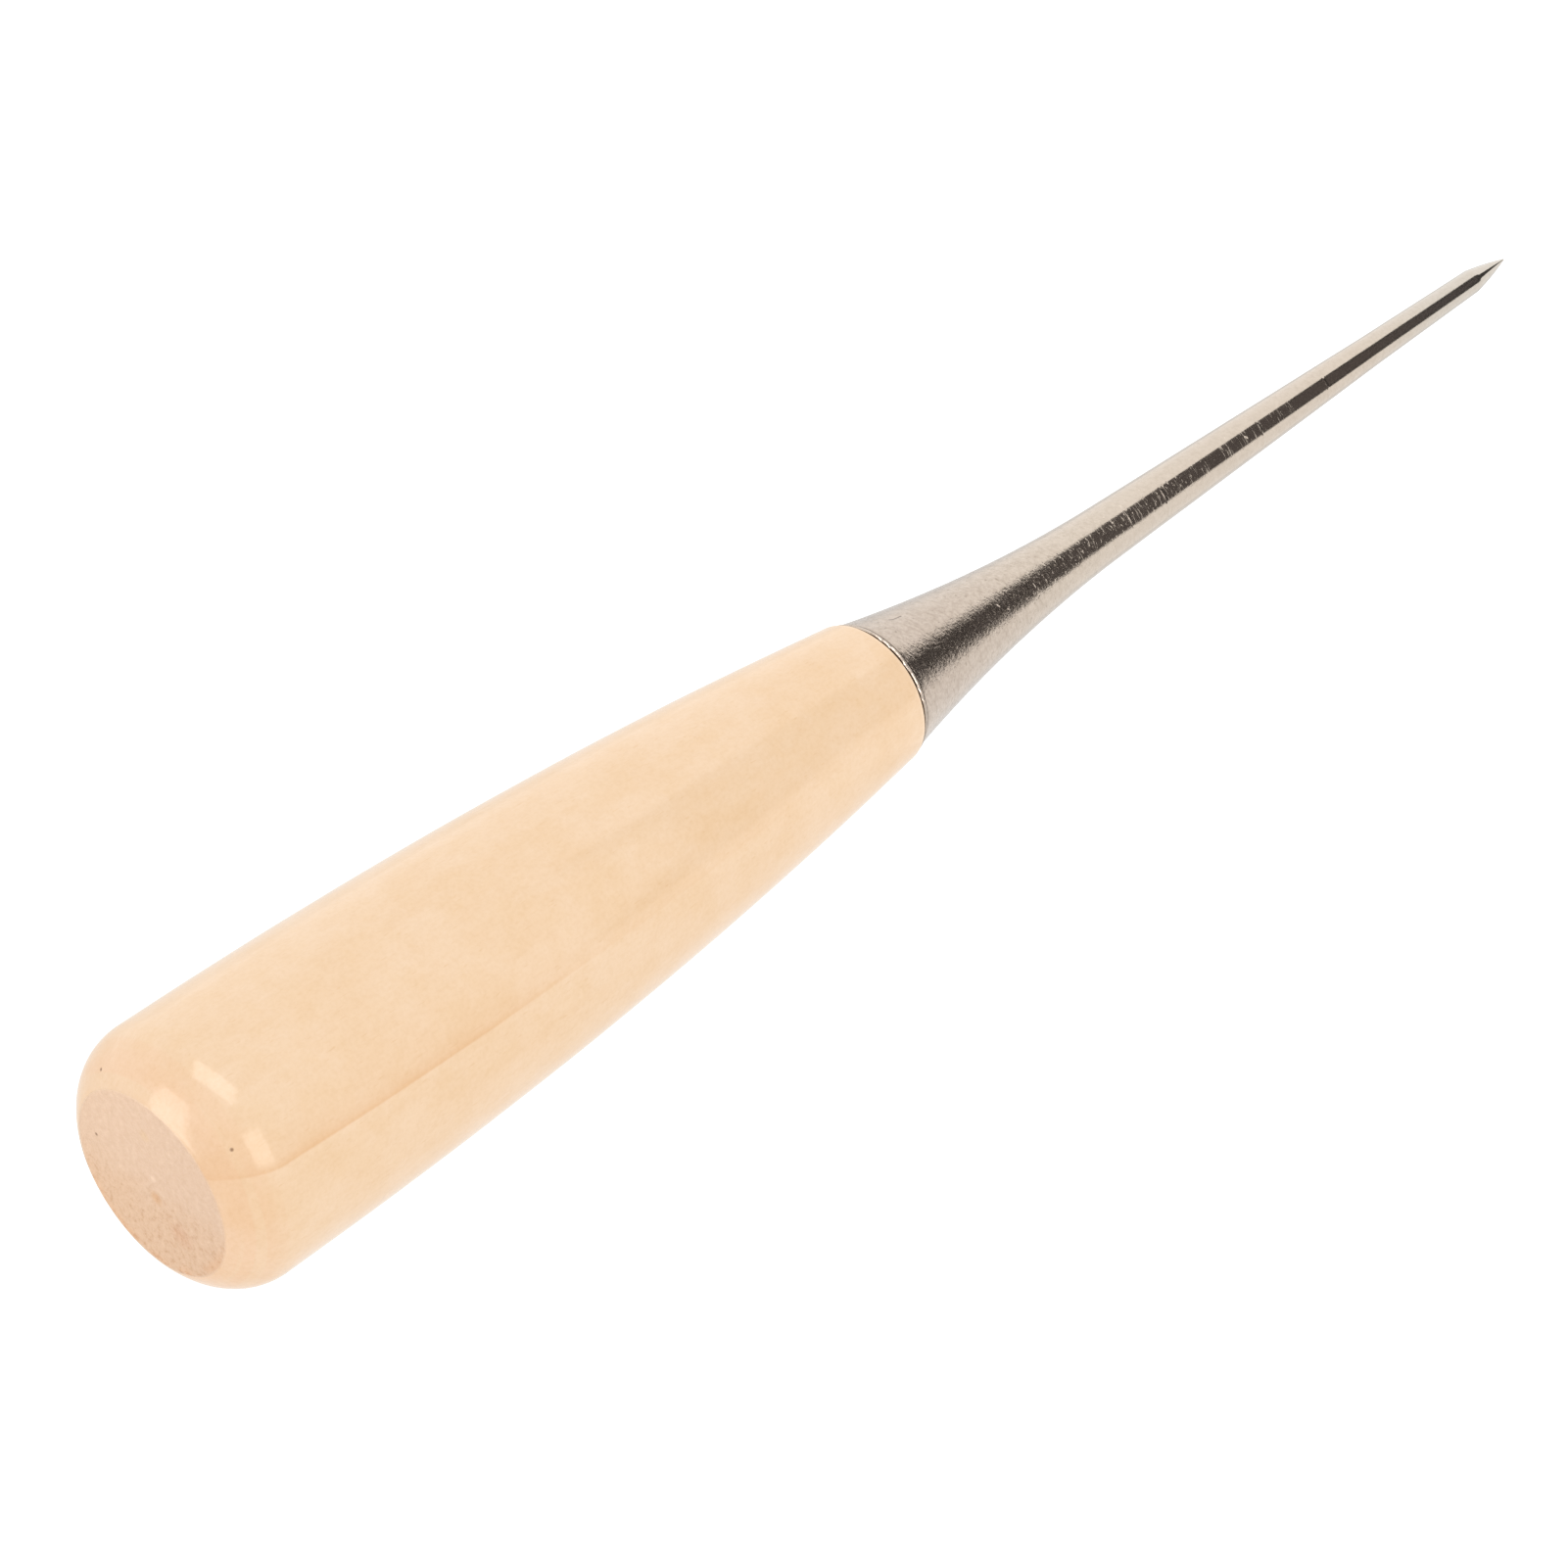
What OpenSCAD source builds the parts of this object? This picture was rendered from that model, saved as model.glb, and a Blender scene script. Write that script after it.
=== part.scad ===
// Scratch awl: a tapered steel blade glued into a turned hardwood handle.
// The awl lies along +X. The origin is the centre of the flat butt face,
// the point is at +X, and every piece is a body of revolution about X.

/* [Overall] */
// Length from the butt face to the point
total_len = 150; // [135:1:170]

/* [Handle] */
// Length of the wooden handle
handle_len = 67; // [60:1:75]
// Diameter of the handle where it is thickest
handle_d = 18.3; // [17:0.1:22]
// Distance from the butt face to the thickest place
belly_x = 8; // [6:0.5:15]
// Diameter of the handle's front end, measured to its sharp corner
front_d = 11.1; // [10.9:0.1:13]
// Radius that breaks the front end's corner
front_round = 0.35; // [0.1:0.05:0.5]
// Diameter of the flat butt face
butt_d = 13.1; // [10:0.1:15]
// Length of the rounded shoulder between the butt face and the side
shoulder_len = 4; // [2:0.25:6]
// Radial half-axis of the ellipse that the shoulder follows
shoulder_h = 5.1; // [4.5:0.1:8]

/* [Bore] */
// Diameter of the hole drilled for the tang
bore_d = 5; // [4.8:0.1:6]
// Depth of the hole's straight part
bore_depth = 30; // [29:0.5:40]
// Included angle of the drill's point
drill_angle = 118; // [90:1:140]

/* [Bolster] */
// Diameter of the rolled lip that seats on the handle
lip_d = 10.9; // [10.7:0.1:11]
// Thickness of the lip along the axis
lip_t = 0.4; // [0.2:0.05:0.8]
// Diameter of the bolster where the flare starts
bolster_d = 10.7; // [9:0.1:10.8]
// Length over which the bolster narrows to the shank
flare_len = 28; // [20:1:35]

/* [Shank] */
// Diameter of the shank where the flare ends
shank_d = 4.4; // [3.5:0.1:5]
// Diameter of the slim front of the shank, where its taper eases
neck_d = 2.6; // [2.2:0.1:3.2]
// Distance of that place from the point
neck_from_tip = 20; // [12:1:30]

/* [Point] */
// Diameter at the shoulder of the ground point
point_d = 2.06; // [1.6:0.02:2.2]
// Length of the ground point
point_len = 5; // [3:0.25:8]
// How far the ground point bulges beyond a straight cone
point_bulge = 0.07; // [0.02:0.01:0.15]
// Diameter of the tip's tiny flat
tip_d = 0.12; // [0.06:0.02:0.3]

/* [Tang] */
// Diameter of the tang inside the handle
tang_d = 4.4; // [3.8:0.1:4.6]
// Length of the tang behind the bolster
tang_len = 28; // [22:0.5:29]
// Number of rings rolled into the tang
ring_count = 5; // [2:1:7]
// Depth of each ring
ring_depth = 0.25; // [0.1:0.05:0.4]
// Distance from ring to ring
ring_pitch = 3; // [2:0.25:3.5]

/* [Hidden] */
$fn = 96;

handle_r = handle_d / 2;
butt_r = butt_d / 2;
front_r = front_d / 2;

// The side is one shallow arc, level at belly_x and front_r at the front end.
side_run = handle_len - belly_x;
side_drop = handle_r - front_r;
side_arc_r = (side_run * side_run + side_drop * side_drop) / (2 * side_drop);
side_steps = 48;

// The shoulder is the part of an ellipse between the butt face and the side.
shoulder_start = asin(1 - (handle_r - butt_r) / shoulder_h);
shoulder_half_len = shoulder_len / cos(shoulder_start);
shoulder_steps = 16;

// The flare is a parabola that leaves the shank's taper without a kink.
flare_end_x = handle_len + flare_len;
neck_x = total_len - neck_from_tip;
point_x = total_len - point_len;
shank_slope = (shank_d - neck_d) / 2 / (neck_x - flare_end_x);
flare_rise = bolster_d / 2 - shank_d / 2 - shank_slope * flare_len;
flare_steps = 36;
lip_steps = 8;
point_steps = 8;
round_steps = 6;

drill_tip_len = bore_d / 2 / tan(drill_angle / 2);
tang_chamfer = 0.8;
// Where the rings start, behind the bolster
ring_start = 5;

// Radius of the handle's side at a distance x from the butt face
function side_r(x) =
    handle_r - side_arc_r + sqrt(side_arc_r * side_arc_r - pow(max(x - belly_x, 0), 2));

// Radius of the blade's flare and the first taper at a distance x from the butt face
function flare_r(x) =
    shank_d / 2 + shank_slope * (flare_end_x - x)
    + flare_rise * pow(max(flare_end_x - x, 0) / flare_len, 2);

// Points of the shoulder, from the butt face to the side, as [radius, x]
function shoulder_points() = [
    for (i = [0 : shoulder_steps])
        let (a = shoulder_start + (90 - shoulder_start) * i / shoulder_steps)
            [handle_r - shoulder_h * (1 - sin(a)), shoulder_len - shoulder_half_len * cos(a)]
];

// Points of the side, from the thickest place to the rounded front corner
function side_points() = [
    for (i = [0 : side_steps])
        let (x = belly_x + (side_run - front_round) * i / side_steps)
            [side_r(x), x]
];

// Points of the rounded front corner, from the side to the flat seat
function front_corner_points() =
    let (r = side_r(handle_len - front_round) - front_round)
        [for (i = [1 : round_steps])
            let (a = 90 * i / round_steps)
                [r + front_round * cos(a), handle_len - front_round + front_round * sin(a)]];

// Points of the lip: a half-round bead standing on the bolster's back face
function lip_points() =
    let (half = lip_t / 2)
        [for (i = [0 : lip_steps])
            let (a = 180 * i / lip_steps)
                [lip_d / 2 - half + half * sin(a), handle_len + half - half * cos(a)]];

// Points of the flare, from the lip to the shank
function flare_points() = [
    for (i = [0 : flare_steps])
        let (x = handle_len + lip_t + (flare_len - lip_t) * i / flare_steps)
            [flare_r(x), x]
];

// Points of the ground point, a cone with a slight belly that ends in the tip's flat
function point_points() = [
    for (i = [0 : point_steps])
        let (t = i / point_steps)
            [point_d / 2 * (1 - t) + tip_d / 2 * t + point_bulge * sin(180 * t),
             point_x + point_len * t]
];

// Points of the tang, from its rear end to the bolster, with a saw-tooth groove for each ring
function tang_points() = concat(
    [[0, handle_len - tang_len],
     [tang_d / 2 - tang_chamfer, handle_len - tang_len],
     [tang_d / 2, handle_len - tang_len + tang_chamfer]],
    [for (i = [ring_count - 1 : -1 : 0])
        let (x = handle_len - ring_start - ring_pitch * i)
            each [[tang_d / 2, x - ring_pitch / 2],
                  [tang_d / 2 - ring_depth, x - ring_pitch / 2 + ring_depth],
                  [tang_d / 2, x]]],
    [[tang_d / 2, handle_len]]
);

// Turns an outline of [radius, x] points about the X axis
module turned(points) {
    rotate([0, 90, 0])
        rotate_extrude()
            polygon(points);
}

// The drilled hole for the tang, with the drill's conical end
module tang_bore(mouth = 0) {
    translate([handle_len, 0, 0])
        rotate([0, -90, 0])
            translate([0, 0, -mouth]) {
                cylinder(h = bore_depth + mouth, d = bore_d);
                translate([0, 0, bore_depth + mouth])
                    cylinder(h = drill_tip_len, d1 = bore_d, d2 = 0);
            }
}

// The tang alone, as the part of the blade that the handle hides
module tang() {
    turned(concat(tang_points(), [[0, handle_len]]));
}

// Turned hardwood handle with a flat butt, a flat front seat and a blind bore
module handle() {
    mouth = 1;
    color("burlywood")
        difference() {
            turned(concat(
                [[0, 0]],
                shoulder_points(),
                side_points(),
                front_corner_points(),
                [[0, handle_len]]
            ));
            tang_bore(mouth);
        }
}

// Steel blade in one piece: tang, seating face, lip, flared bolster, shank and ground point
module blade() {
    color("silver")
        turned(concat(
            tang_points(),
            lip_points(),
            flare_points(),
            [[neck_d / 2, neck_x]],
            point_points(),
            [[0, total_len]]
        ));
}

// Epoxy that fills the bore round the tang and behind its end
module tang_adhesive() {
    color("wheat")
        difference() {
            tang_bore();
            tang();
        }
}

handle();
blade();
tang_adhesive();
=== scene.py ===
"""Scratch awl: a lacquered hardwood handle and a polished steel blade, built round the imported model.

Lengths are in millimetres, except for the camera and the studio, which are in metres. Meshes are
scaled to metres as they are made.
The awl lies along +X, the centre of its flat butt face is the origin, and Z points up.
Around the axis, an angle of 0 is +Y and 90 degrees is +Z.
"""

import math
from types import SimpleNamespace

import bpy
from mathutils import Matrix, Vector, noise


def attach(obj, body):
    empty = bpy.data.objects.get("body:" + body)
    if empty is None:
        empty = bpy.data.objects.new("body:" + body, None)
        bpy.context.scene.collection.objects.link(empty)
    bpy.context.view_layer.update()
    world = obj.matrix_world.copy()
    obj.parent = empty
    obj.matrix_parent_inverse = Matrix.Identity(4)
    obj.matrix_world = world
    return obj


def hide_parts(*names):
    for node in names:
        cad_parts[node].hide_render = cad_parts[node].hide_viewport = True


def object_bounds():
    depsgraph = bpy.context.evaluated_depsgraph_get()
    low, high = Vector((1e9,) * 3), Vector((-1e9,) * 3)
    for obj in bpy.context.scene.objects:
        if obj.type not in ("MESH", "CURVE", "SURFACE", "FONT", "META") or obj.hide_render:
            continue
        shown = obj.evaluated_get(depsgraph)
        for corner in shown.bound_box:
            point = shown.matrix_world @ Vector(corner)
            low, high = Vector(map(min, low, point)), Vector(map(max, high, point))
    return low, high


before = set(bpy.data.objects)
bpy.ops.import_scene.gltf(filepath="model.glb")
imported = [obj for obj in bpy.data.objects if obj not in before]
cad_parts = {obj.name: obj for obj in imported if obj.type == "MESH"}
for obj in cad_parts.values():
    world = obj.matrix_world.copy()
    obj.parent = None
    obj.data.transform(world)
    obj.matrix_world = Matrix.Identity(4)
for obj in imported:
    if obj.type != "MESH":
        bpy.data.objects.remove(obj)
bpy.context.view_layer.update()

MM = 0.001

# ---------------------------------------------------------------- dimensions, as in the CAD part
TOTAL_LEN = 150.0
HANDLE_LEN = 67.0
HANDLE_R = 9.15
BELLY_X = 8.0
FRONT_R = 5.55
FRONT_ROUND = 0.35
BUTT_R = 6.55
SHOULDER_LEN = 4.0
SHOULDER_H = 5.1
BORE_R = 2.5
BORE_DEPTH = 30.0
DRILL_HALF_ANGLE = 59.0
LIP_R = 5.45
LIP_T = 0.4
BOLSTER_R = 5.35
FLARE_LEN = 28.0
SHANK_R = 2.2
NECK_R = 1.3
NECK_X = 130.0
POINT_R = 1.03
POINT_X = 145.0
POINT_BULGE = 0.07
TIP_R = 0.06
TANG_R = 2.2
TANG_LEN = 28.0
TANG_CHAMFER = 0.8
RING_COUNT = 5
RING_DEPTH = 0.25
RING_PITCH = 3.0
RING_START = 5.0

FLARE_END = HANDLE_LEN + FLARE_LEN
SHANK_SLOPE = (SHANK_R - NECK_R) / (NECK_X - FLARE_END)
FLARE_RISE = BOLSTER_R - SHANK_R - SHANK_SLOPE * FLARE_LEN
SIDE_RUN = HANDLE_LEN - BELLY_X
SIDE_DROP = HANDLE_R - FRONT_R
SIDE_ARC_R = (SIDE_RUN**2 + SIDE_DROP**2) / (2 * SIDE_DROP)

# Finer than the CAD part: the butt's softened edge, and the lip as a roll with a groove in front of it
BUTT_EDGE = 0.35
LIP_ROLL = 0.14
LIP_GROOVE_X = 0.36
LIP_GROOVE_R = 5.25
# Facets round each piece, and the angle in degrees beyond which an edge stays sharp
HANDLE_SEGMENTS = 320
BLADE_SEGMENTS = 256
SHARP_ANGLE = 50


# ---------------------------------------------------------------- small helpers
def ease(low, high, value):
    """0 below low, 1 above high, and a smooth rise between them."""
    t = min(max((value - low) / (high - low), 0.0), 1.0)
    return t * t * (3 - 2 * t)


def span(start, end, count):
    """count + 1 evenly spaced numbers from start to end."""
    return [start + (end - start) * i / count for i in range(count + 1)]


def ripple(x, angle, length, turns, seed):
    """Smooth noise from 0 to 1 on a surface of revolution, without a seam."""
    point = Vector((x / length, math.cos(angle) * turns + seed, math.sin(angle) * turns - seed))
    return min(max(0.5 + 0.5 * noise.noise(point), 0.0), 1.0)


# ---------------------------------------------------------------- outlines, as (x, radius)
def side_r(x):
    return HANDLE_R - SIDE_ARC_R + math.sqrt(SIDE_ARC_R**2 - max(x - BELLY_X, 0) ** 2)


def blade_r(x):
    """Radius of the flare and the shank's first taper."""
    curve = max(FLARE_END - x, 0) / FLARE_LEN
    return SHANK_R + SHANK_SLOPE * (FLARE_END - x) + FLARE_RISE * curve**2


def handle_outline():
    """From the centre of the butt face, over the outside, to the end of the bore."""
    start = math.asin(1 - (HANDLE_R - BUTT_R) / SHOULDER_H)
    half_len = SHOULDER_LEN / math.cos(start)
    points = [(0.0, 0.0)]
    points += [(0.0, r) for r in span(0.3, BUTT_R - BUTT_EDGE, 45)]
    shoulder = []
    for a in span(start + BUTT_EDGE / SHOULDER_H, math.pi / 2, 38):
        shoulder.append((SHOULDER_LEN - half_len * math.cos(a), HANDLE_R - SHOULDER_H * (1 - math.sin(a))))
    first_x, first_r = shoulder[0]
    for t in span(0.0, 1.0, 6)[1:-1]:
        edge_r = (BUTT_R - BUTT_EDGE) * (1 - t) ** 2 + BUTT_R * 2 * t * (1 - t) + first_r * t**2
        points.append((first_x * t**2, edge_r))
    points += shoulder
    points += [(x, side_r(x)) for x in span(SHOULDER_LEN + 0.3, BELLY_X, 13)]
    points += [(x, side_r(x)) for x in span(BELLY_X + 0.4, HANDLE_LEN - FRONT_ROUND, 140)]
    corner_r = side_r(HANDLE_LEN - FRONT_ROUND) - FRONT_ROUND
    for a in span(0.0, math.pi / 2, 9)[1:]:
        x = HANDLE_LEN - FRONT_ROUND + FRONT_ROUND * math.sin(a)
        points.append((x, corner_r + FRONT_ROUND * math.cos(a)))
    points += [(HANDLE_LEN, r) for r in span(corner_r - 0.3, BORE_R, 6)]
    points += [(x, BORE_R) for x in span(HANDLE_LEN - 0.2, HANDLE_LEN - BORE_DEPTH, 14)]
    cone_len = BORE_R / math.tan(math.radians(DRILL_HALF_ANGLE))
    for t in span(0.0, 1.0, 4)[1:]:
        points.append((HANDLE_LEN - BORE_DEPTH - cone_len * t, BORE_R * (1 - t)))
    return points


def tang_outline():
    """The ringed tang, from its end to the blade's seating face."""
    end = HANDLE_LEN - TANG_LEN
    points = [(end, 0.0), (end, TANG_R - TANG_CHAMFER), (end + TANG_CHAMFER, TANG_R)]
    for i in reversed(range(RING_COUNT)):
        x = HANDLE_LEN - RING_START - RING_PITCH * i
        points.append((x - RING_PITCH / 2, TANG_R))
        points.append((x - RING_PITCH / 2 + RING_DEPTH, TANG_R - RING_DEPTH))
        points.append((x, TANG_R))
    return points + [(HANDLE_LEN, TANG_R)]


def blade_outline():
    """From the end of the tang to the centre of the tip."""
    points = tang_outline()
    roll = LIP_ROLL
    points += [(HANDLE_LEN, r) for r in span(TANG_R + 0.6, LIP_R - roll - 0.1, 4)]
    for a in span(0.0, math.pi, 14):
        points.append((HANDLE_LEN + roll - roll * math.cos(a), LIP_R - roll + roll * math.sin(a)))
    points.append((HANDLE_LEN + LIP_GROOVE_X, LIP_GROOVE_R))
    points += [(x, blade_r(x)) for x in span(HANDLE_LEN + LIP_T + 0.06, FLARE_END, 112)]
    points += [(x, blade_r(x)) for x in span(FLARE_END + 0.3, NECK_X, 116)]
    for x in span(NECK_X + 0.35, POINT_X, 40):
        points.append((x, NECK_R + (POINT_R - NECK_R) * (x - NECK_X) / (POINT_X - NECK_X)))
    for t in span(0.0, 1.0, 30)[1:]:
        bulge = POINT_BULGE * math.sin(math.pi * t)
        points.append((POINT_X + (TOTAL_LEN - POINT_X) * t, POINT_R * (1 - t) + TIP_R * t + bulge))
    return points + [(TOTAL_LEN, TIP_R * 0.5), (TOTAL_LEN, 0.0)]


# ---------------------------------------------------------------- wear, pits, dents and scratches
# Pits in the butt's end grain: y, z, radius and depth
BUTT_PITS = [
    (-0.35, -0.85, 0.42, 0.10),
    (-0.10, -1.60, 0.30, 0.06),
    (-2.35, -2.80, 0.55, 0.07),
    (-1.60, -2.30, 0.30, 0.06),
    (-3.10, -1.70, 0.26, 0.05),
    (-1.30, -3.80, 0.34, 0.05),
    (-2.90, -3.60, 0.30, 0.05),
    (0.70, -2.60, 0.26, 0.04),
    (0.20, -4.30, 0.30, 0.04),
    (1.60, -3.70, 0.24, 0.04),
    (-3.40, 0.70, 0.22, 0.04),
]
# A torn fibre stands up beside the centre: y, z, radius
BUTT_FLECK = (-0.30, 0.60, 0.30)
# Tiny pin knots: x, y, z
SPECKS = [(0.0, 4.81, 1.19), (1.52, -6.25, 5.53), (0.69, 4.34, 6.22)]
SPECK_R = 0.17
SPECK_DEPTH = 0.06
# Dents in the blade's rolled lip: angle, half width in degrees, and depth
LIP_DENTS = [
    (102.5, 2.0, 0.07),
    (110.8, 1.6, 0.09),
    (130.5, 6.0, 0.08),
    (149.8, 1.2, 0.08),
    (158.0, 2.0, 0.06),
]
# Scratches in the blade: both ends as x and an angle in degrees, then width and strength
DARK_SCRATCHES = [
    ((69.8, 85.3), (70.1, 87.2), 0.08, 1.0),
    ((70.1, 87.2), (70.9, 87.2), 0.08, 1.0),
]
LIGHT_SCRATCHES = [
    ((78.85, 130.5), (78.98, 134.5), 0.06, 1.0),
    ((79.6, 142.5), (79.75, 144.5), 0.06, 1.0),
    ((70.6, 131.2), (71.3, 132.2), 0.06, 0.4),
    ((110.95, 133.0), (111.12, 138.0), 0.14, 1.0),
]
# Rings that turning left round the blade, by x
TURNING_RINGS = [95.7, 100.1, 113.0, 122.2]
# How deep wear, end grain and sanding go into the wood, and hand grinding into the steel
WOOD_EDGE_WEAR = 0.15
BUTT_RELIEF = 0.05
BUTT_FINE_RELIEF = 0.012
SIDE_RELIEF = 0.03
LIP_WEAR = 0.05
LIP_FINE_WEAR = 0.03
BLADE_WAVE = 0.010
BLADE_FINE_WAVE = 0.004


def bump_at(distance, radius):
    """1 at the centre of a spot, 0 from its radius outwards."""
    return 1 - ease(0.0, radius, distance)


def handle_surface(x, r, angle):
    """Pushes the outline's point into the wood, by what sanding and the open end grain left."""
    in_bore = r < BORE_R * 1.01 and x > 1
    if in_bore:
        return x, r
    y = r * math.cos(angle)
    z = r * math.sin(angle)
    depth = sum(SPECK_DEPTH * bump_at(math.dist((x, y, z), s), SPECK_R) for s in SPECKS)
    if x < 0.001:
        rough = 1 - ease(-2.5, 1.5, z)
        grain = 0.5 + 0.5 * noise.noise(Vector((y * 2.6, z * 2.6, 4.0)))
        fine = 0.5 + 0.5 * noise.noise(Vector((y * 5.5, z * 5.5, 9.0)))
        depth += BUTT_RELIEF * (0.25 + 0.45 * rough) * grain + BUTT_FINE_RELIEF * (0.4 + 0.6 * rough) * fine
        depth += sum(d * bump_at(math.hypot(y - py, z - pz), pr) for py, pz, pr, d in BUTT_PITS)
        fleck = bump_at(math.hypot(y - BUTT_FLECK[0], z - BUTT_FLECK[1]), BUTT_FLECK[2])
        depth *= (1 - fleck) * (1 - ease(BUTT_R - 0.8, BUTT_R - BUTT_EDGE, r))
        return x + depth, r
    front = ease(HANDLE_LEN - 1.6, HANDLE_LEN - FRONT_ROUND, x)
    depth += WOOD_EDGE_WEAR * front * ease(BORE_R, FRONT_R - 1.0, r)
    if x > HANDLE_LEN - FRONT_ROUND:
        return x, r - depth
    depth += SIDE_RELIEF * ripple(x, angle, 7.0, 1.6, 2.0) * ease(0.3, 4.0, x)
    depth *= 1 - ease(HANDLE_LEN - 3.0, HANDLE_LEN - FRONT_ROUND, x)
    return x, r - depth


def blade_surface(x, r, angle):
    """Hand grinding leaves the blade slightly wavy, and its rolled lip uneven. The tang stays as it is."""
    if x < HANDLE_LEN + 0.001:
        return x, r
    if x < HANDLE_LEN + LIP_T + 0.001:
        uneven = LIP_WEAR * ripple(0.0, angle, 1.0, 5.0, 7.0)
        uneven += LIP_FINE_WEAR * ripple(0.0, angle, 1.0, 14.0, 3.0)
        uneven += sum(d * bump_at(abs(math.degrees(angle) - at), w) for at, w, d in LIP_DENTS)
        return x, r - uneven * ease(LIP_R - LIP_ROLL - 0.05, LIP_R, r)
    wave = BLADE_WAVE * ripple(x, angle, 5.0, 0.8, 5.0) + BLADE_FINE_WAVE * ripple(x, angle, 1.3, 1.1, 1.0)
    return x, r - wave * ease(HANDLE_LEN + LIP_T, HANDLE_LEN + 3.0, x) * (1 - ease(140.0, 147.0, x))


# ---------------------------------------------------------------- mesh
def lathe(name, outline, segments, surface):
    """A closed surface of revolution about X. The outline's two ends lie on the axis."""
    middle = outline[1:-1]
    angles = [2 * math.pi * i / segments for i in range(segments)]
    verts = [(outline[0][0] * MM, 0.0, 0.0)]
    for x, r in middle:
        for a in angles:
            px, pr = surface(x, r, a)
            verts.append((px * MM, pr * math.cos(a) * MM, pr * math.sin(a) * MM))
    verts.append((outline[-1][0] * MM, 0.0, 0.0))
    last = len(verts) - 1
    faces = []
    for i in range(segments):
        j = (i + 1) % segments
        faces.append((0, 1 + j, 1 + i))
        for row in range(len(middle) - 1):
            a = 1 + row * segments
            b = a + segments
            faces.append((a + i, a + j, b + j, b + i))
        end = last - segments
        faces.append((last, end + i, end + j))
    mesh = bpy.data.meshes.new(name)
    mesh.from_pydata(verts, [], faces)
    mesh.validate()
    mesh.shade_smooth()
    mesh.set_sharp_from_angle(angle=math.radians(SHARP_ANGLE))
    piece = bpy.data.objects.new(name, mesh)
    bpy.context.scene.collection.objects.link(piece)
    return piece


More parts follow.
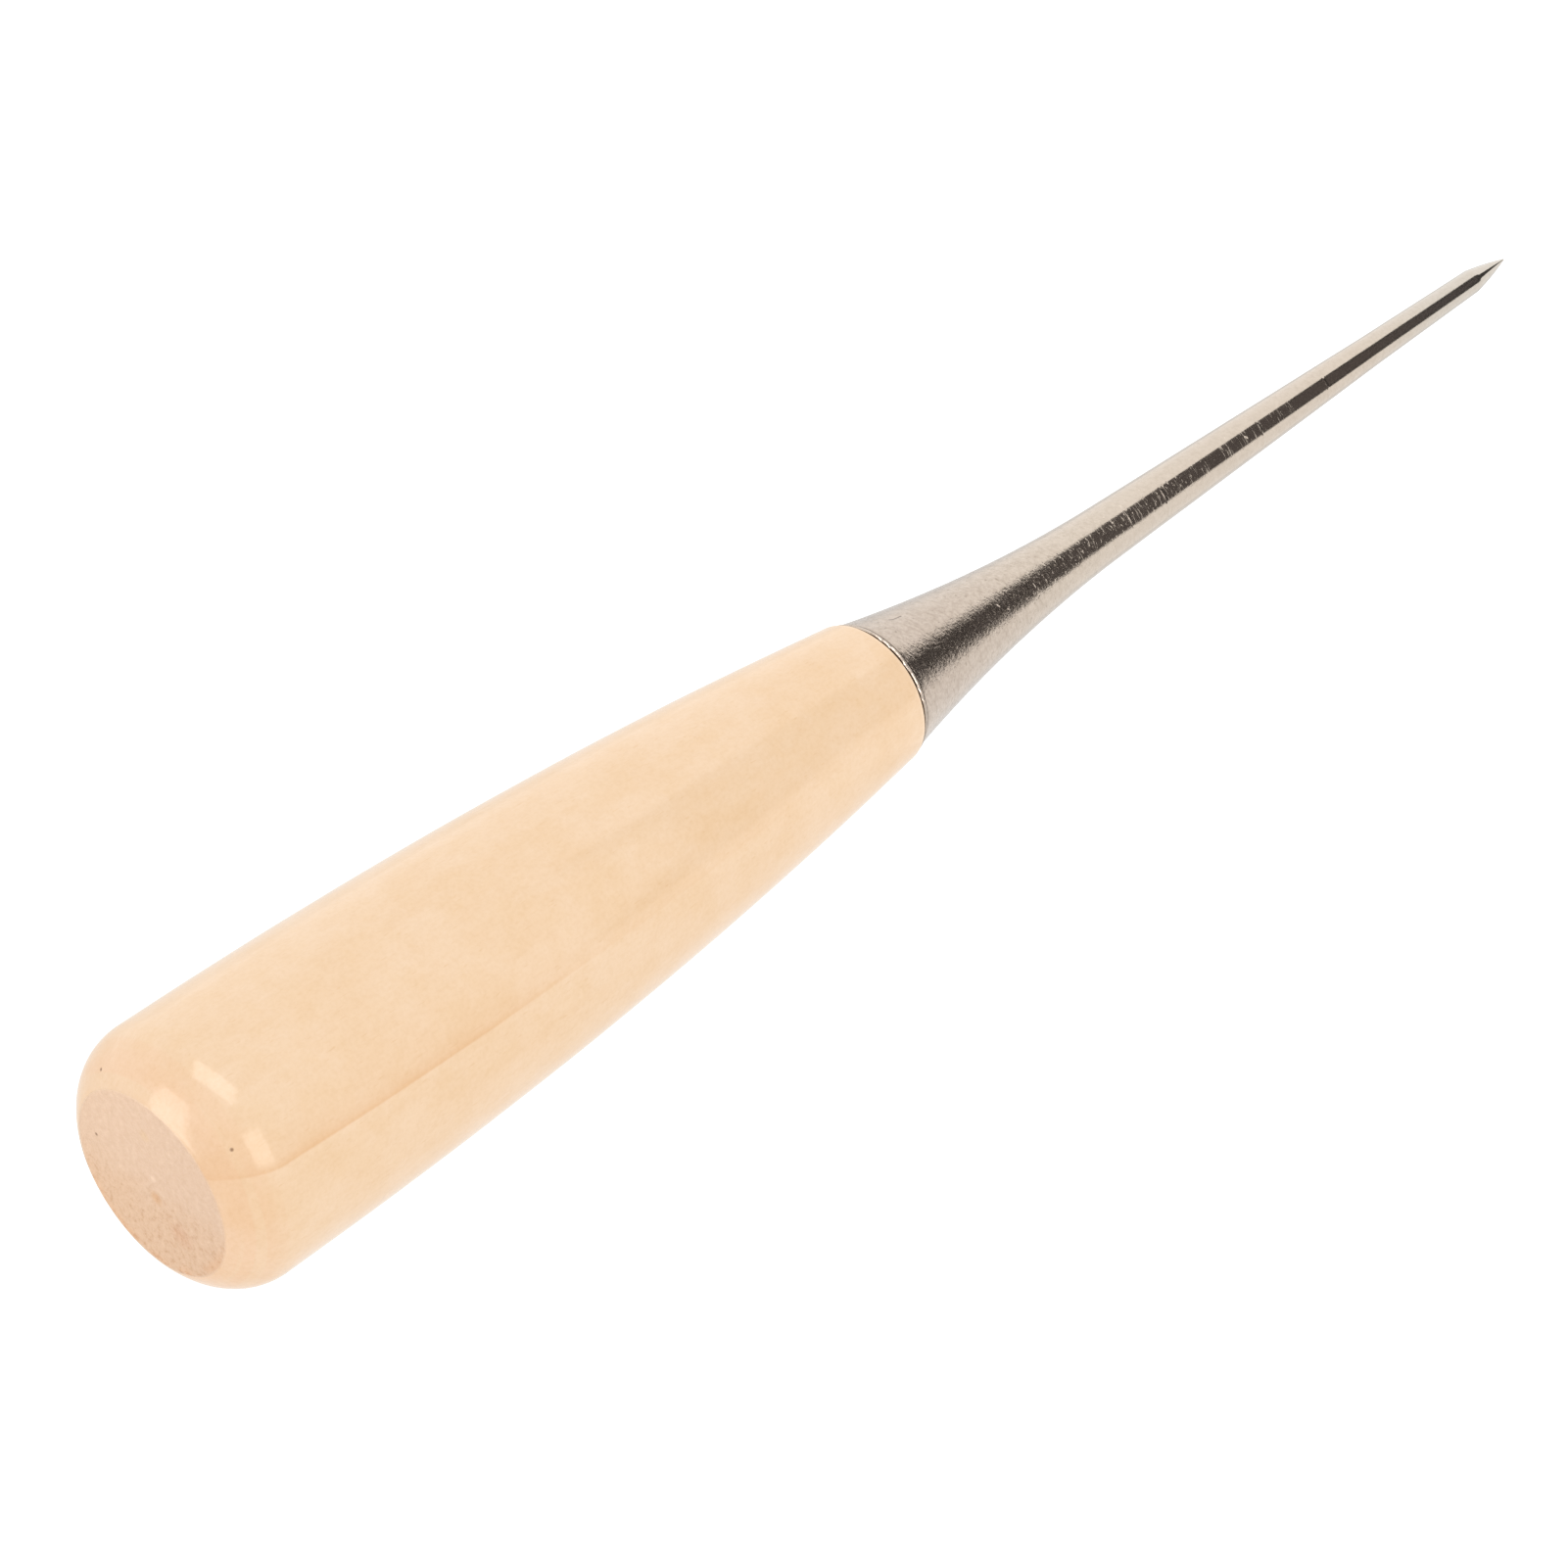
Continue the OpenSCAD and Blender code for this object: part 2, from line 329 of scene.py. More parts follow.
# ---------------------------------------------------------------- material nodes
class Nodes:
    """One material's node tree. Its methods add a node and return the output socket."""

    def __init__(self, name):
        self.material = bpy.data.materials.new(name)
        self.material.use_nodes = True
        self.tree = self.material.node_tree
        self.tree.nodes.clear()
        self.shader = self.tree.nodes.new("ShaderNodeBsdfPrincipled")
        output = self.tree.nodes.new("ShaderNodeOutputMaterial")
        self.tree.links.new(self.shader.outputs["BSDF"], output.inputs["Surface"])
        coordinates = self.tree.nodes.new("ShaderNodeTexCoord")
        self.point = self.scaled(coordinates.outputs["Object"], 1 / MM, 1 / MM, 1 / MM)
        parts = self.tree.nodes.new("ShaderNodeSeparateXYZ")
        self.tree.links.new(self.point, parts.inputs[0])
        self.x, self.y, self.z = parts.outputs[0], parts.outputs[1], parts.outputs[2]
        self.r = self.root(self.add(self.mul(self.y, self.y), self.mul(self.z, self.z)))

    def put(self, socket, value):
        if isinstance(value, bpy.types.NodeSocket):
            self.tree.links.new(value, socket)
        else:
            socket.default_value = value

    def math(self, operation, *values, clamp=False):
        node = self.tree.nodes.new("ShaderNodeMath")
        node.operation = operation
        node.use_clamp = clamp
        for socket, value in zip(node.inputs, values):
            self.put(socket, value)
        return node.outputs[0]

    def add(self, a, b):
        return self.math("ADD", a, b)

    def sub(self, a, b):
        return self.math("SUBTRACT", a, b)

    def mul(self, a, b):
        return self.math("MULTIPLY", a, b)

    def root(self, a):
        return self.math("SQRT", a)

    def fold(self, operation, values):
        """MAXIMUM or MINIMUM of many values."""
        result = values[0]
        for value in values[1:]:
            result = self.math(operation, result, value)
        return result

    def fall(self, value, length):
        """exp(-value / length)"""
        return self.math("EXPONENT", self.mul(value, -1.0 / length))

    def vector(self, x, y, z):
        node = self.tree.nodes.new("ShaderNodeCombineXYZ")
        for socket, value in zip(node.inputs, (x, y, z)):
            self.put(socket, value)
        return node.outputs[0]

    def scaled(self, vector, x, y, z):
        node = self.tree.nodes.new("ShaderNodeVectorMath")
        node.operation = "MULTIPLY"
        self.put(node.inputs[0], vector)
        node.inputs[1].default_value = (x, y, z)
        return node.outputs[0]

    def distance(self, x, y, z):
        """Distance in mm from a fixed point."""
        node = self.tree.nodes.new("ShaderNodeVectorMath")
        node.operation = "DISTANCE"
        self.put(node.inputs[0], self.point)
        node.inputs[1].default_value = (x, y, z)
        return node.outputs["Value"]

    def vector_math(self, operation, a, b, output="Vector"):
        node = self.tree.nodes.new("ShaderNodeVectorMath")
        node.operation = operation
        self.put(node.inputs[0], a)
        self.put(node.inputs[1], b)
        return node.outputs[output]

    def offset(self, point):
        """The vector from a fixed point to here, in mm."""
        return self.vector_math("SUBTRACT", self.point, point)

    def dot(self, a, b):
        return self.vector_math("DOT_PRODUCT", a, b, "Value")

    def gap(self, point):
        """Distance in mm from a point that other nodes work out."""
        return self.vector_math("DISTANCE", self.point, point, "Value")

    def noise(self, vector, scale, detail=2.0, roughness=0.5):
        """Smooth noise, about 0.2 to 0.8 round a mean of 0.5."""
        node = self.tree.nodes.new("ShaderNodeTexNoise")
        node.inputs["Scale"].default_value = scale
        node.inputs["Detail"].default_value = detail
        node.inputs["Roughness"].default_value = roughness
        self.put(node.inputs["Vector"], vector)
        return node.outputs[0]

    def fit(self, value, from_low, from_high, to_low=0.0, to_high=1.0):
        """to_low up to from_low, to_high beyond from_high, and a smooth change between them."""
        node = self.tree.nodes.new("ShaderNodeMapRange")
        node.interpolation_type = "SMOOTHSTEP"
        for socket, number in zip(node.inputs[:5], (value, from_low, from_high, to_low, to_high)):
            self.put(socket, number)
        return node.outputs[0]

    def tint(self, colour, factor, by):
        """colour times by, where factor is 1."""
        node = self.tree.nodes.new("ShaderNodeMix")
        node.data_type = "RGBA"
        node.blend_type = "MULTIPLY"
        node.clamp_factor = True
        self.put(node.inputs[0], factor)
        self.put(node.inputs[6], colour)
        node.inputs[7].default_value = (*by, 1.0)
        return node.outputs[2]

    def mix(self, colour, factor, to):
        """colour where factor is 0, and to where it is 1."""
        node = self.tree.nodes.new("ShaderNodeMix")
        node.data_type = "RGBA"
        node.clamp_factor = True
        self.put(node.inputs[0], factor)
        self.put(node.inputs[6], colour)
        self.put(node.inputs[7], to)
        return node.outputs[2]

    def bump(self, height, depth):
        """A bump of depth mm for a height of 0 to 1."""
        node = self.tree.nodes.new("ShaderNodeBump")
        node.inputs["Strength"].default_value = 1.0
        node.inputs["Distance"].default_value = depth * MM
        self.put(node.inputs["Height"], height)
        return node.outputs[0]

    def finish(self, **sockets):
        for name, value in sockets.items():
            self.put(self.shader.inputs[name.replace("_", " ")], value)
        return self.material


# Base colours, as linear RGB
WOOD = (0.670, 0.498, 0.345)
END_GRAIN = (0.612, 0.430, 0.302)
STEEL_BOLSTER = (0.486, 0.410, 0.347)
STEEL_SHANK = (0.533, 0.460, 0.387)
STEEL_POINT = (0.520, 0.472, 0.413)
EPOXY = (0.64, 0.50, 0.23)
BLACK = (0.0, 0.0, 0.0)
WHITE = (1.0, 1.0, 1.0)
# Depth of each material's bump, in mm
WOOD_BUMP = 0.09
STEEL_BUMP = 0.035
EPOXY_BUMP = 0.03


def growth_lines(n):
    """How dark the growth line is: sharp on its lower side, fading over a millimetre or two above."""
    spacing = 11.0
    height_at_butt = 4.15
    rise_along = -0.033
    rise_across = 0.07
    dip_at_butt = 0.6
    dip_kept_per_mm = 0.33
    waviness = 0.35
    # The height is given on the -Y flank, this far from the axis
    flank = 8.3
    wobble = n.noise(n.scaled(n.point, 0.08, 0.2, 0.2), 1.0, 2.0)
    level = n.add(n.mul(n.x, rise_along), height_at_butt)
    level = n.sub(level, n.mul(n.math("POWER", dip_kept_per_mm, n.math("MAXIMUM", n.x, 0.0)), dip_at_butt))
    level = n.add(level, n.mul(n.add(n.y, flank), rise_across))
    above = n.add(n.sub(n.z, level), n.mul(n.sub(wobble, 0.5), waviness))
    above = n.math("FLOORED_MODULO", above, spacing)
    core = n.mul(n.fall(above, 0.3), 0.5)
    glow = n.mul(n.fall(above, 1.3), 0.5)
    edge = n.fit(above, spacing - 0.16, spacing)
    line = n.math("MAXIMUM", n.add(core, glow), edge)
    along = n.add(n.fit(n.x, 15.0, 34.0, 0.8, 0.0), n.fit(n.x, 34.0, 62.0, 0.22, 0.08))
    along = n.mul(along, n.fit(n.x, 0.4, 5.0, 0.45, 1.0))
    side = n.fit(n.y, -3.0, 3.0, 1.0, 0.2)
    return n.mul(n.mul(line, along), side)


def wood_colour(n, fibre, mottle, disc):
    """The lacquered wood, with its end grain on the butt face, its knots, a painted highlight on its
    rounded front corner, and a dark line of painted shade and dirt where it meets the blade.
    """
    streak = n.noise(n.scaled(n.point, 0.06, 1.1, 1.1), 1.0, 3.0)
    figure = n.noise(n.scaled(n.point, 0.14, 0.22, 0.22), 1.0, 3.0, 0.55)
    blotch = n.noise(n.point, 0.35, 3.0, 0.6)
    speckle = n.noise(n.point, 3.4, 2.0, 0.6)
    pores = n.noise(n.scaled(n.point, 1.1, 9.0, 9.0), 1.0, 1.0)
    colour = WOOD + (1.0,)
    for pattern, low, high, tone in (
        (fibre, 0.3, 0.75, (0.99, 0.982, 0.97)),
        (streak, 0.35, 0.7, (0.996, 0.99, 0.98)),
        (mottle, 0.3, 0.75, (0.985, 0.972, 0.95)),
        (figure, 0.38, 0.62, (0.985, 0.966, 0.93)),
        (blotch, 0.42, 0.62, (0.99, 0.978, 0.95)),
        (speckle, 0.35, 0.75, (0.97, 0.955, 0.93)),
        (pores, 0.66, 0.80, (0.95, 0.91, 0.85)),
    ):
        colour = n.tint(colour, n.fit(pattern, low, high), tone)
    colour = n.tint(colour, growth_lines(n), (0.93, 0.82, 0.70))

    rings = n.noise(n.vector(n.mul(n.x, 1.5), n.mul(n.y, 0.05), n.mul(n.z, 0.05)), 1.0, 2.0)
    shoulder = n.fit(n.x, 0.5, SHOULDER_LEN, 1.0, 0.0)
    colour = n.tint(colour, shoulder, (1.0, 0.978, 0.968))
    colour = n.tint(colour, n.mul(shoulder, n.fit(rings, 0.44, 0.58)), (0.997, 0.955, 0.937))

    colour = n.mix(colour, disc, end_grain(n))
    for x, y, z in SPECKS:
        colour = n.tint(colour, n.fit(n.distance(x, y, z), 0.05, SPECK_R, 1.0, 0.0), (0.42, 0.36, 0.32))
    # Painted highlight: a paler, cooler band on the rounded front corner, where the lacquer catches the
    # light
    painted_corner_highlight = n.mul(n.fit(n.x, HANDLE_LEN - 0.75, HANDLE_LEN - 0.35), n.fit(mottle, 0.3, 0.6, 0.4, 1.0))
    colour = n.tint(colour, painted_corner_highlight, (1.05, 1.09, 1.16))
    # Painted shade, with some dirt: a dark line on the wood where it meets the blade's lip
    seam = n.fit(n.x, HANDLE_LEN - 0.23, HANDLE_LEN - 0.13)
    return n.tint(colour, seam, (0.20, 0.17, 0.15))


def wood_material():
    n = Nodes("lacquered_wood")
    on_disc = n.fit(n.r, BUTT_R - 0.16, BUTT_R + 0.10, 1.0, 0.0)
    disc = n.mul(on_disc, n.fit(n.x, 0.25, 0.6, 1.0, 0.0))
    fibre = n.noise(n.scaled(n.point, 0.3, 5.0, 5.0), 1.0, 3.0, 0.6)
    mottle = n.noise(n.scaled(n.point, 0.8, 1.3, 1.3), 1.0, 3.0, 0.6)
    colour = wood_colour(n, fibre, mottle, disc)

    lacquer = n.add(0.10, n.mul(mottle, 0.06))
    rough = n.add(lacquer, n.mul(disc, 0.5))
    peel = n.noise(n.point, 1.1, 2.0)
    bare = n.noise(n.scaled(n.point, 1.0, 4.2, 4.2), 1.0, 4.0, 0.65)
    relief = n.add(n.mul(peel, 0.05), n.mul(fibre, 0.035))
    relief = n.add(relief, n.mul(bare, disc))
    n.shader.inputs["IOR"].default_value = 1.5
    n.shader.inputs["Specular IOR Level"].default_value = 0.3
    return n.finish(Base_Color=colour, Roughness=rough, Normal=n.bump(relief, WOOD_BUMP))


def end_grain(n):
    """The bare, sanded butt face: pinkish, rougher and browner towards its lower middle."""
    grain = n.noise(n.scaled(n.point, 1.0, 2.0, 2.0), 1.0, 5.0, 0.8)
    patch = n.noise(n.scaled(n.point, 1.0, 0.5, 0.5), 1.0, 2.0)
    low = n.fit(n.add(n.z, n.mul(n.sub(patch, 0.5), 4.0)), -3.2, 1.2, 1.0, 0.0)
    colour = n.tint(END_GRAIN + (1.0,), n.fit(grain, 0.38, 0.64), (0.93, 0.90, 0.87))
    colour = n.tint(colour, n.fit(grain, 0.42, 0.30), (1.08, 1.10, 1.12))
    colour = n.tint(colour, n.fit(n.y, -4.0, 4.0, 0.0, 1.0), (1.035, 1.035, 1.03))
    colour = n.tint(colour, low, (0.98, 0.945, 0.89))
    colour = n.tint(colour, n.mul(low, n.fit(grain, 0.5, 0.66)), (0.87, 0.785, 0.70))
    # Stains: y, z, radius and tone
    for y, z, radius, tone in (
        (-2.35, -2.8, 1.3, (0.965, 0.90, 0.87)),
        (-0.35, -0.95, 0.75, (0.955, 0.86, 0.74)),
        (0.0, 3.9, 0.6, (1.0, 0.985, 0.90)),
        (-0.3, 0.6, 0.34, (1.10, 1.14, 1.18)),
    ):
        colour = n.tint(colour, n.fit(n.distance(0.0, y, z), radius * 0.25, radius, 1.0, 0.0), tone)
    rim = n.mul(n.fit(n.r, BUTT_R - 0.9, BUTT_R - 0.1), n.fit(n.z, -3.5, 0.0, 1.0, 0.0))
    return n.tint(colour, n.mul(rim, n.fit(patch, 0.35, 0.6)), (1.02, 0.93, 0.84))


def on_blade(x, angle):
    """The point of the blade's surface at x and an angle in degrees."""
    turn = math.radians(angle)
    return Vector((x, blade_r(x) * math.cos(turn), blade_r(x) * math.sin(turn)))


def scratch(n, start, end, width):
    """1 inside a short straight scratch between two (x, angle) points of the blade."""
    first = on_blade(*start)
    run = on_blade(*end) - first
    share = n.math("MULTIPLY", n.dot(n.offset(first), run), 1.0 / run.length_squared, clamp=True)
    nearest = n.vector(*[n.add(n.mul(share, run[i]), first[i]) for i in range(3)])
    return n.fit(n.gap(nearest), width * 0.3, width, 1.0, 0.0)


def scratches(n, table):
    """The strongest of a table of scratches."""
    masks = [n.mul(scratch(n, start, end, width), strength) for start, end, width, strength in table]
    return n.fold("MAXIMUM", masks)


def turning_rings(n, broad):
    """1 on the turning rings, where the broad noise lets them show."""
    nearest = n.fold("MINIMUM", [n.math("ABSOLUTE", n.sub(n.x, at)) for at in TURNING_RINGS])
    return n.mul(n.fit(nearest, 0.0, 0.22, 1.0, 0.0), n.fit(broad, 0.3, 0.6))


def bright_specks(n):
    """Small bright specks in the stretch where the bolster becomes the shank."""
    stretch = n.mul(n.fit(n.x, 73.0, 86.0, 0.0, 1.0), n.fit(n.x, 96.0, 112.0, 1.0, 0.0))
    speck = n.noise(n.scaled(n.point, 5.5, 2.6, 2.6), 1.0, 2.0, 0.6)
    return n.mul(n.fit(speck, 0.59, 0.78), stretch)


def steel_patterns(n):
    """What the steel's colour, roughness and relief share.

    fine and broad are stretched round the blade, as turning marks are, and hair slants across it.
    """
    across = n.math("DIVIDE", 1.0, n.math("MAXIMUM", n.r, 0.05))
    turned_y = n.mul(n.y, across)
    turned_z = n.mul(n.z, across)
    arc = n.mul(n.math("ARCTAN2", n.y, n.z), n.r)
    hair_along = n.add(n.mul(n.x, 4.0), n.mul(arc, 1.6))
    return SimpleNamespace(
        fine=n.noise(n.vector(n.mul(n.x, 9.0), turned_y, turned_z), 1.0, 2.0, 0.75),
        broad=n.noise(n.vector(n.mul(n.x, 1.1), turned_y, turned_z), 1.0, 2.0),
        satin=n.noise(n.point, 2.6, 3.0, 0.75),
        mottle=n.noise(n.point, 0.9, 3.0, 0.6),
        hair=n.noise(n.vector(hair_along, n.mul(arc, 0.6), 0.0), 1.0, 2.0, 0.7),
        bolster=n.fit(n.x, 78.0, 98.0, 1.0, 0.0),
        dark=scratches(n, DARK_SCRATCHES),
        light=scratches(n, LIGHT_SCRATCHES),
        speck=bright_specks(n),
    )


def steel_roughness(n, steel):
    rough = n.add(n.fit(n.x, 72.0, 112.0, 0.15, 0.12), n.mul(n.sub(steel.mottle, 0.5), 0.05))
    rough = n.add(rough, n.fit(n.x, 118.0, 142.0, 0.0, 0.02))
    rough = n.add(rough, n.fit(n.x, POINT_X - 0.2, POINT_X + 0.6, 0.0, -0.07))
    rough = n.add(rough, n.mul(steel.light, 0.4))
    return n.add(rough, n.mul(steel.speck, 0.06))


def steel_colour(n, steel):
    pits = n.fit(n.noise(n.point, 2.4, 1.0), 0.66, 0.74)
    grit = n.mul(n.fit(steel.satin, 0.40, 0.66), n.add(0.5, n.mul(steel.bolster, 0.5)))
    polish = n.mul(n.fit(steel.satin, 0.42, 0.28), n.add(0.3, steel.bolster))
    hairs = n.mul(n.fit(steel.hair, 0.5, 0.7), n.add(0.35, steel.bolster))
    groove = n.math("ABSOLUTE", n.sub(n.x, HANDLE_LEN + LIP_GROOVE_X))
    colour = n.mix(STEEL_BOLSTER + (1.0,), n.fit(n.x, 69.0, 92.0), STEEL_SHANK + (1.0,))
    colour = n.mix(colour, n.fit(n.x, 126.0, 142.0), STEEL_POINT + (1.0,))
    for mask, tone in (
        (n.fit(steel.mottle, 0.3, 0.75), (0.965, 0.96, 0.95)),
        (grit, (0.86, 0.85, 0.835)),
        (polish, (1.06, 1.06, 1.06)),
        (hairs, (0.92, 0.91, 0.90)),
        (n.mul(pits, steel.bolster), (0.80, 0.79, 0.77)),
        (steel.dark, (0.5, 0.48, 0.46)),
        (steel.light, (1.2, 1.2, 1.2)),
        (steel.speck, (1.12, 1.12, 1.11)),
        # Painted shade, with some dirt, in the groove in front of the lip
        (n.fit(groove, 0.04, 0.11, 1.0, 0.0), (0.36, 0.33, 0.30)),
    ):
        colour = n.tint(colour, mask, tone)
    return colour


def steel_relief(n, steel):
    """The turning marks are strongest past the bolster, and the satin and the hairs on it."""
    busy = n.mul(n.fit(n.x, 80.0, 98.0, 0.3, 1.0), n.fit(n.x, 112.0, 122.0, 1.0, 0.2))
    cut = n.mul(n.fit(steel.fine, 0.56, 0.78), n.fit(steel.broad, 0.38, 0.65, 0.02, 0.24))
    cut = n.mul(n.add(cut, n.mul(steel.broad, 0.03)), busy)
    relief = n.add(cut, n.mul(steel.satin, n.add(0.06, steel.bolster)))
    relief = n.add(relief, n.mul(n.mul(steel.hair, steel.bolster), 0.5))
    relief = n.sub(relief, n.mul(n.math("MAXIMUM", steel.dark, steel.light), 0.3))
    relief = n.add(relief, n.mul(turning_rings(n, steel.broad), 0.35))
    return n.sub(relief, n.mul(steel.speck, 0.36))


def steel_material():
    n = Nodes("polished_steel")
    steel = steel_patterns(n)
    n.shader.inputs["Metallic"].default_value = 1.0
    return n.finish(
        Base_Color=steel_colour(n, steel),
        Roughness=steel_roughness(n, steel),
        Normal=n.bump(steel_relief(n, steel), STEEL_BUMP),
    )


def adhesive_material():
    n = Nodes("cured_epoxy")
    cloud = n.noise(n.point, 0.6, 3.0)
    bubbles = n.fit(n.noise(n.point, 4.0, 1.0), 0.68, 0.76)
    colour = n.tint(EPOXY + (1.0,), n.fit(cloud, 0.35, 0.7), (0.85, 0.80, 0.68))
    colour = n.tint(colour, bubbles, (1.15, 1.15, 1.2))
    rough = n.add(0.18, n.mul(cloud, 0.2))
    return n.finish(Base_Color=colour, Roughness=rough, Normal=n.bump(bubbles, EPOXY_BUMP))


def plain_material(name, colour, glow=0.0, light=WHITE):
    """A matt surface that can glow with a coloured light."""
    material = bpy.data.materials.new(name)
    material.use_nodes = True
    shader = material.node_tree.nodes["Principled BSDF"]
    shader.inputs["Base Color"].default_value = (*colour, 1.0)
    shader.inputs["Roughness"].default_value = 0.8
    shader.inputs["Emission Color"].default_value = (*light, 1.0)
    shader.inputs["Emission Strength"].default_value = glow
    return material


# ---------------------------------------------------------------- the awl
def make_awl():
    handle = lathe("handle_wood", handle_outline(), HANDLE_SEGMENTS, handle_surface)
    handle.data.materials.append(wood_material())
    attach(handle, "root")
    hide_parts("handle")

    blade = lathe("blade_steel", blade_outline(), BLADE_SEGMENTS, blade_surface)
    blade.data.materials.append(steel_material())
    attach(blade, "root")
    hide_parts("blade")

    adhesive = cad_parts["tang_adhesive"]
    adhesive.material_slots[0].material = adhesive_material()


# ---------------------------------------------------------------- camera, floor and light, in metres
CAMERA_AT = (-0.101724, -0.139304, 0.157376)
CAMERA_FORWARD = (0.60133, 0.52425, -0.60297)
CAMERA_RIGHT = (0.65714, -0.75377, 0.0)
CAMERA_LENS = 87.293
CAMERA_SENSOR = 36.0
WORLD_GLOW = 1.42
WHITE_CARD_GLOW = 5.2
# The dark band's cards hang this far from the awl's axis, round this angle in degrees
BAND_DISTANCE = 0.5
BAND_ANGLE = 141.5
BAND_LIGHT = (1.0, 0.87, 0.89)
# The mirrored floor's tone changes under the bolster, and again close to the axis
FLOOR_CHANGE_X = 0.074
FLOOR_CONTACT_Y = -0.004
FLOOR_REACH = 4.0


def make_camera():
    data = bpy.data.cameras.new("camera")
    data.lens = CAMERA_LENS
    data.sensor_width = CAMERA_SENSOR
    data.clip_start = 0.01
    data.clip_end = 20.0
    camera = bpy.data.objects.new("camera", data)
    bpy.context.scene.collection.objects.link(camera)
    right = Vector(CAMERA_RIGHT).normalized()
    back = -Vector(CAMERA_FORWARD).normalized()
    up = back.cross(right)
    turn = Matrix((right, up, back)).transposed().to_4x4()
    camera.matrix_world = Matrix.Translation(CAMERA_AT) @ turn
    bpy.context.scene.camera = camera


def stage_mesh(name, corners, material):
    """A flat polygon for the studio."""
    mesh = bpy.data.meshes.new(name)
    mesh.from_pydata(corners, [], [tuple(range(len(corners)))])
    mesh.materials.append(material)
    obj = bpy.data.objects.new(name, mesh)
    bpy.context.scene.collection.objects.link(obj)
    return obj


def rectangle(centre, direction, width, height):
    """Corners of a rectangle round centre that faces along direction."""
    turn = Vector(direction).to_track_quat("Z", "Y")
    signs = ((-1, -1), (1, -1), (1, 1), (-1, 1))
    return [Vector(centre) + turn @ Vector((a * width / 2, b * height / 2, 0)) for a, b in signs]


def reflected_only(obj):
    """Only glossy rays see the card: it shapes reflections and casts no light or shadow."""
    obj.visible_camera = False
    obj.visible_diffuse = False
    obj.visible_transmission = False
    obj.visible_volume_scatter = False
    obj.visible_shadow = False


def reflected_floor(name, glow, across_x, across_y, z):
    """What a glossy surface sees of part of the floor."""
    (x0, x1), (y0, y1) = across_x, across_y
    corners = [(x0, y0, z), (x1, y0, z), (x1, y1, z), (x0, y1, z)]
    reflected_only(stage_mesh(name, corners, plain_material(name, BLACK, glow)))


def band_card(name, glow, ends):
    """Part of the studio's unlit side, which makes the dark band along the blade."""
    turn = math.radians(BAND_ANGLE)
    outward = Vector((0.0, math.cos(turn), math.sin(turn)))
    sideways = Vector((0.0, -outward.z, outward.y))
    corners = []
    for side in (1, 2):
        for end in ends if side == 1 else reversed(ends):
            reach = BAND_DISTANCE * math.tan(math.radians(end[side] - BAND_ANGLE))
            corners.append(outward * BAND_DISTANCE + sideways * reach + Vector((end[0], 0, 0)))
    material = plain_material(name, BLACK, glow, BAND_LIGHT)
    reflected_only(stage_mesh(name, corners, material))


def make_dark_cards():
    """Each end is an x in metres and the card's two edges there, as angles round the blade in degrees."""
    shank_end = (0.742, 104.0, 178.0)
    point_end = (0.785, 104.0, 175.5)
    band_card("card_dark_shank", 0.088, (
        (0.505, 104.0, 180.0),
        (0.66, 104.0, 181.0),
        (0.725, 104.0, 181.5),
        shank_end,
    ))
    band_card("card_dark_point", 0.125, (shank_end, (0.757, 104.0, 173.0), point_end))
    band_card("card_dark_bolster", 0.024, (
        point_end,
        (0.85, 104.0, 180.5),
        (1.0, 106.5, 182.5),
        (1.15, 108.5, 181.0),
        (1.45, 117.0, 164.0),
        (2.4, 115.0, 160.0),
        (4.5, 112.0, 158.0),
    ))


def near_white():
    """A card so close to the butt that only the butt's rounding catches its full light.

    The light fades from near to far mm away from the surface that mirrors it. The card's upper
    part counts as a little closer than it is. Its full light, but not its faded light, is dimmer
    towards its -Y edge.
    """
    near, far, far_glow = 18.1, 20.3, 0.8
    n = Nodes("card_near_white")
    n.shader.inputs["Base Color"].default_value = BLACK + (1.0,)
    n.shader.inputs["Emission Color"].default_value = WHITE + (1.0,)
    path = n.tree.nodes.new("ShaderNodeLightPath")
    away = n.mul(path.outputs["Ray Length"], 1.0 / MM)
    away = n.sub(away, n.mul(n.math("MAXIMUM", n.sub(n.z, 9.0), 0.0), 0.4))
    full_glow = n.mul(n.fit(n.y, -3.7, -0.7, 0.4, 1.0), WHITE_CARD_GLOW)
    return n.finish(Emission_Strength=n.fit(away, near, far, full_glow, far_glow))


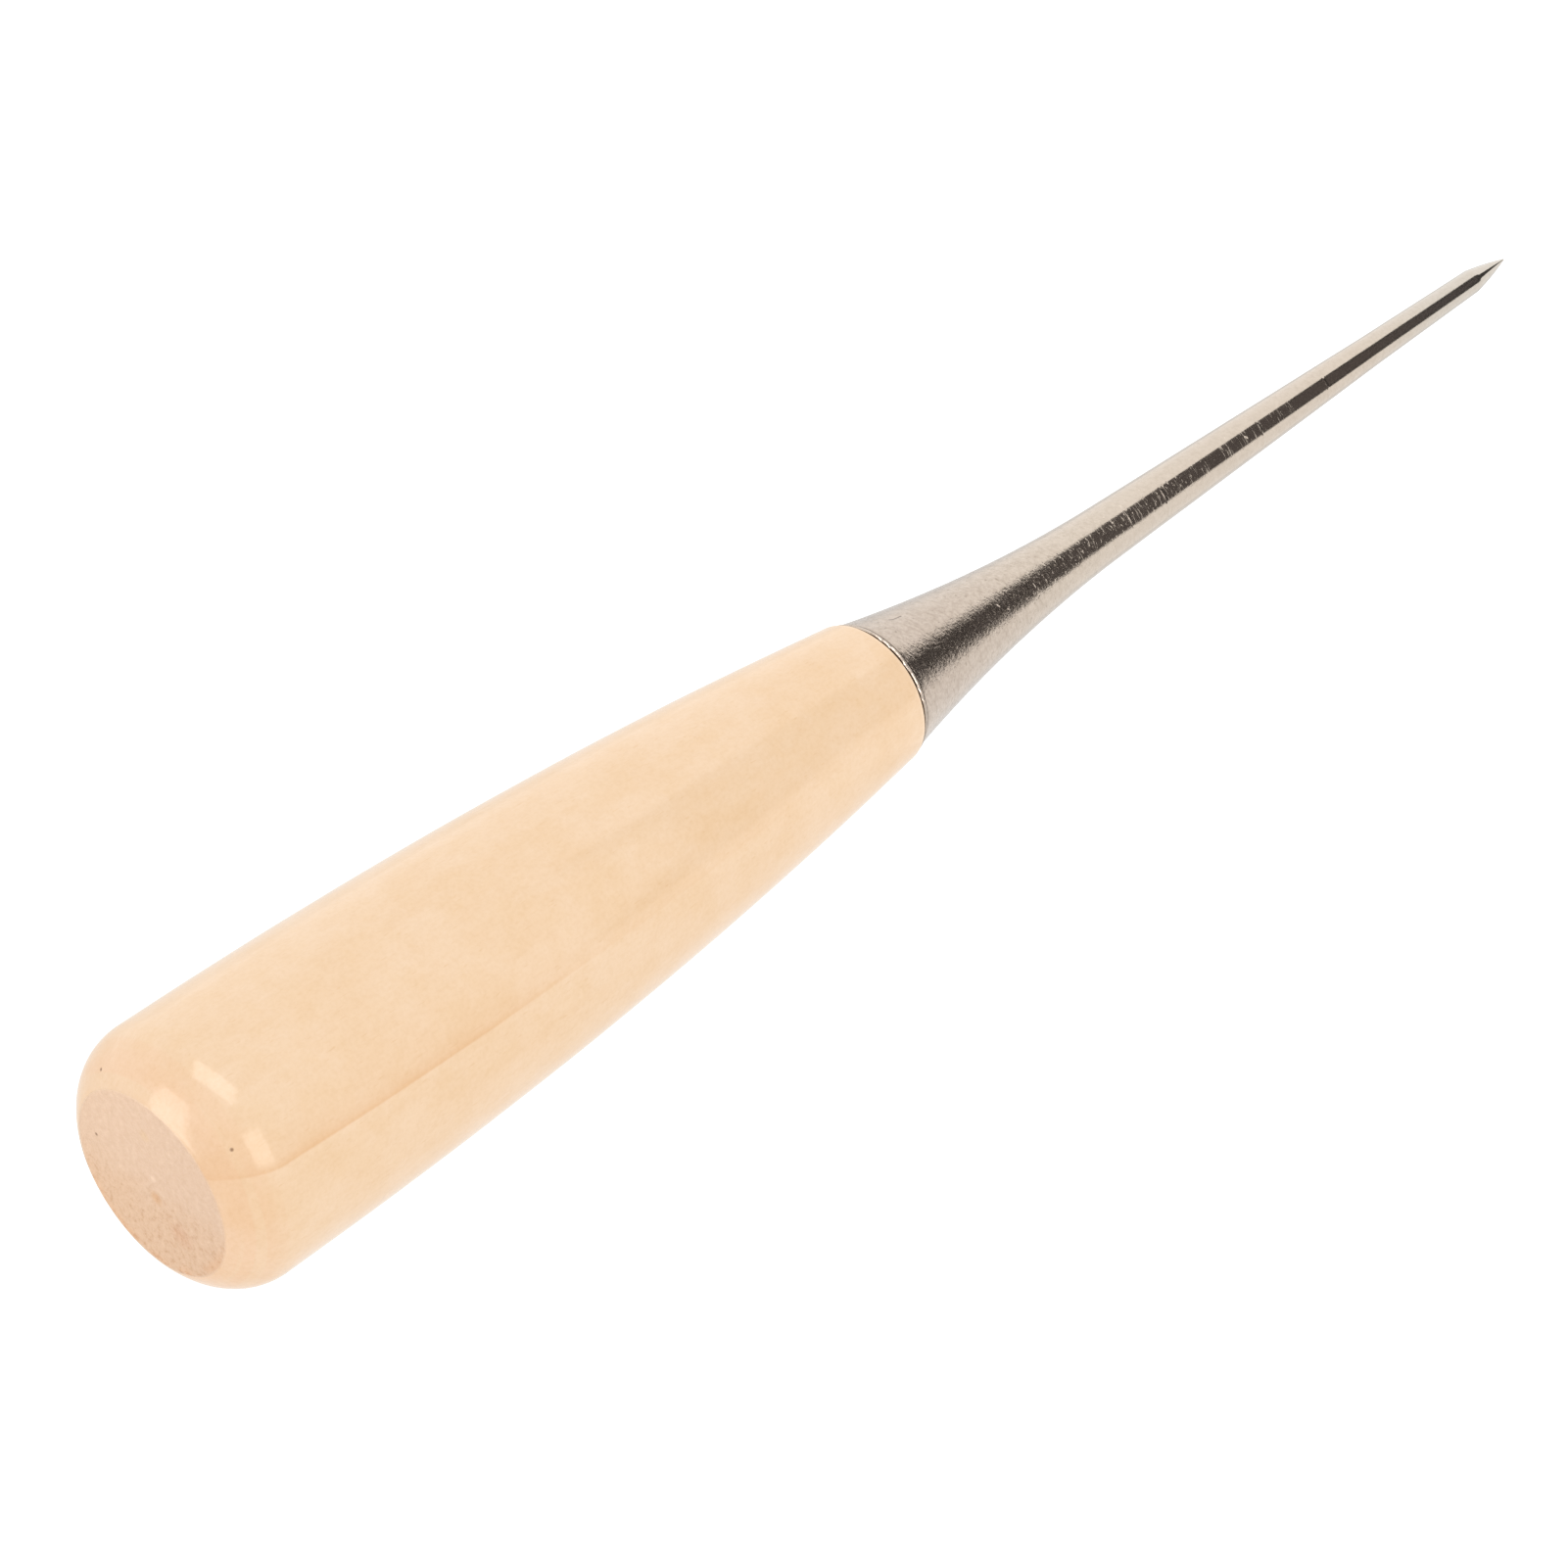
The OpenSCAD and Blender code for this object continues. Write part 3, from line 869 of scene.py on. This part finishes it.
def make_world():
    world = bpy.data.worlds.new("studio")
    bpy.context.scene.world = world
    world.use_nodes = True
    background = world.node_tree.nodes["Background"]
    background.inputs["Color"].default_value = WHITE + (1.0,)
    background.inputs["Strength"].default_value = WORLD_GLOW


def make_surroundings():
    """The floor and, just above it, the tones that the lacquer and the steel mirror, then the backdrop."""
    floor_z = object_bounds()[0][2]
    floor = rectangle((0, 0, floor_z), (0, 0, 1), 2 * FLOOR_REACH, 2 * FLOOR_REACH)
    stage_mesh("floor", floor, plain_material("floor_white", (0.25, 0.25, 0.25), 0.98))
    low = floor_z + 0.0002
    everywhere = (-FLOOR_REACH, FLOOR_REACH)
    beside_handle = (-FLOOR_REACH, FLOOR_CHANGE_X)
    beside_blade = (FLOOR_CHANGE_X, FLOOR_REACH)
    reflected_floor("card_floor_far", 0.90, everywhere, (0.0, FLOOR_REACH), low)
    reflected_floor("card_floor_handle", 0.97, beside_handle, (-FLOOR_REACH, 0.0), low)
    reflected_floor("card_floor_blade", 1.24, beside_blade, (-FLOOR_REACH, FLOOR_CONTACT_Y), low)
    # card_floor_contact is a painted shadow: the floor under the blade, dimmer where the steel mirrors it
    reflected_floor("card_floor_contact", 1.0, beside_blade, (FLOOR_CONTACT_Y, 0.0), low)
    backdrop = rectangle((0, 3.0, 0.35), (0, -1, 0), 16.0, 0.9)
    reflected_only(stage_mesh("card_backdrop", backdrop, plain_material("card_backdrop", BLACK, 1.34)))


def make_cards():
    """Each card is a name, a material, a centre, the way it faces, a width and a height."""
    white = plain_material("card_white", BLACK, WHITE_CARD_GLOW)
    beyond = plain_material("card_beyond", BLACK, 0.7)
    cards = (
        ("card_above", white, (0.013, -0.045, 0.49), (-0.03, 0.09, -0.98), 0.215, 0.35),
        ("card_beside", white, (-0.038, -0.44, 0.21), (0.08, 0.88, -0.42), 0.26, 0.24),
        ("card_beyond", beyond, (-3.0, 0.0, 0.6), (1, 0, 0), 4.0, 1.25),
        ("card_behind", near_white(), (-0.015, 0.0026, 0.0118), (1, 0, 0), 0.0126, 0.0188),
    )
    for name, material, centre, direction, width, height in cards:
        reflected_only(stage_mesh(name, rectangle(centre, direction, width, height), material))


make_camera()
make_awl()
make_world()
make_surroundings()
make_dark_cards()
make_cards()
bpy.context.scene.view_settings.view_transform = "Standard"
